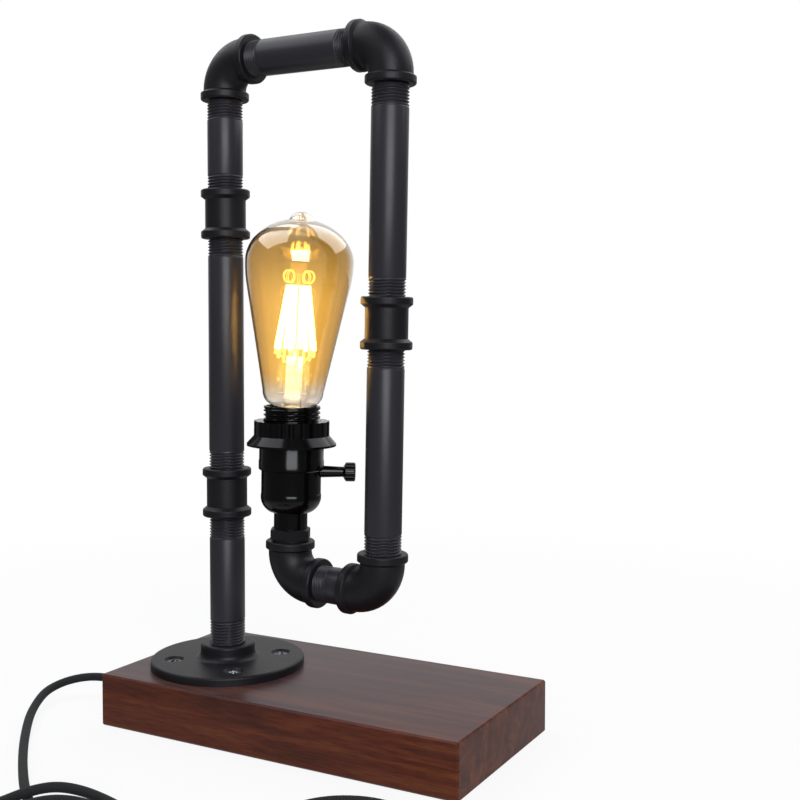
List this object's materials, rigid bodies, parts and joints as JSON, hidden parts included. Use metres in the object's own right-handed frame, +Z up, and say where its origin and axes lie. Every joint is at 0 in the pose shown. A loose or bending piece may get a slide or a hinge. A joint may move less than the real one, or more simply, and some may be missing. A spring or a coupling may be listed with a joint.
{
  "type": "pipe table lamp",
  "caption": "Table lamp made of threaded pipe: a square loop stands on a wooden block and ends in an upright socket with a turn-knob switch and a teardrop filament bulb.",
  "frame": {"origin": "middle of the wooden block's underside, on the table", "axes": "+Z up, +X along the block towards its free end, +Y to the block's back"},
  "size_m": [0.3144, 0.304, 0.4125],
  "materials": {
    "stained_wood": "reddish-brown stain, satin",
    "cover_board": "dark hardboard, matte",
    "screw_steel": "zinc plated, dull",
    "black_pipe": "satin black",
    "black_iron": "satin black, lightly grained",
    "black_shell": "gloss black",
    "moulded_core": "dark phenolic",
    "black_knob": "gloss black",
    "brass_contact": "bare brass",
    "amber_glass": "amber-coated clear glass",
    "clear_glass": "clear glass",
    "cap_metal": "plain",
    "cap_black": "black cap glass",
    "fine_wire": "drawn wire",
    "glowing_filament": "phosphor coating, lit",
    "cord_cover": "braided textile, dark grey",
    "wire_insulation": "plain insulation",
    "black_rubber": "soft black",
    "black_plug": "moulded black"
  },
  "bodies": {
    "lamp": {"wood_base": "stained_wood", "base_cover": "cover_board", "cover_screws": "screw_steel", "floor_flange": "black_iron", "flange_screws": "screw_steel", "lower_riser": "black_pipe", "lower_coupling": "black_iron", "middle_riser": "black_pipe", "upper_coupling": "black_iron", "upper_riser": "black_pipe", "riser_elbow": "black_iron", "top_nipple": "black_pipe", "drop_elbow": "black_iron", "upper_drop_pipe": "black_pipe", "drop_coupling": "black_iron", "lower_drop_pipe": "black_pipe", "return_elbow": "black_iron", "return_nipple": "black_pipe", "socket_elbow": "black_iron", "hex_bushing": "black_iron", "lamp_nipple": "black_pipe", "socket_cap": "black_shell", "socket_set_screw": "black_shell", "socket_body": "black_shell", "socket_core": "moulded_core", "terminal_screws": "brass_contact", "screw_shell": "brass_contact", "centre_contact": "brass_contact", "inner_cord": "cord_cover", "wire_leads": "wire_insulation", "cord_clamp": "black_plug", "clamp_screw": "screw_steel", "strain_relief": "black_rubber", "cord_lead": "cord_cover", "cord_coil": "cord_cover", "cord_tail": "cord_cover", "plug_relief": "black_rubber", "plug_body": "black_plug", "plug_blades": "brass_contact"},
    "knob": {"switch_knob": "black_knob", "switch_spindle": "brass_contact", "switch_rotor": "moulded_core"},
    "bulb": {"bulb_glass": "amber_glass", "bulb_cap": "cap_metal", "cap_insulator": "cap_black", "cap_contact": "brass_contact", "glass_stem": "clear_glass", "filament_wires": "fine_wire", "led_filaments": "glowing_filament"},
    "ring": {"shade_ring": "black_shell"}
  },
  "joints": [
    {"name": "knob_turn", "type": "hinge", "parent": "lamp", "child": "knob", "pos_m": [-0.01673, -0.00705, 0.15381], "axis": [0.8787, 0.4772, -0.0165], "continuous": true},
    {"name": "bulb_unscrew", "type": "slide", "parent": "lamp", "child": "bulb", "axis": [0.0192, -0.0008, 0.9998], "range_m": [0, 0.03]},
    {"name": "ring_unscrew", "type": "slide", "parent": "lamp", "child": "ring", "axis": [0.0192, -0.0008, 0.9998], "range_m": [0, 0.01]}
  ]
}
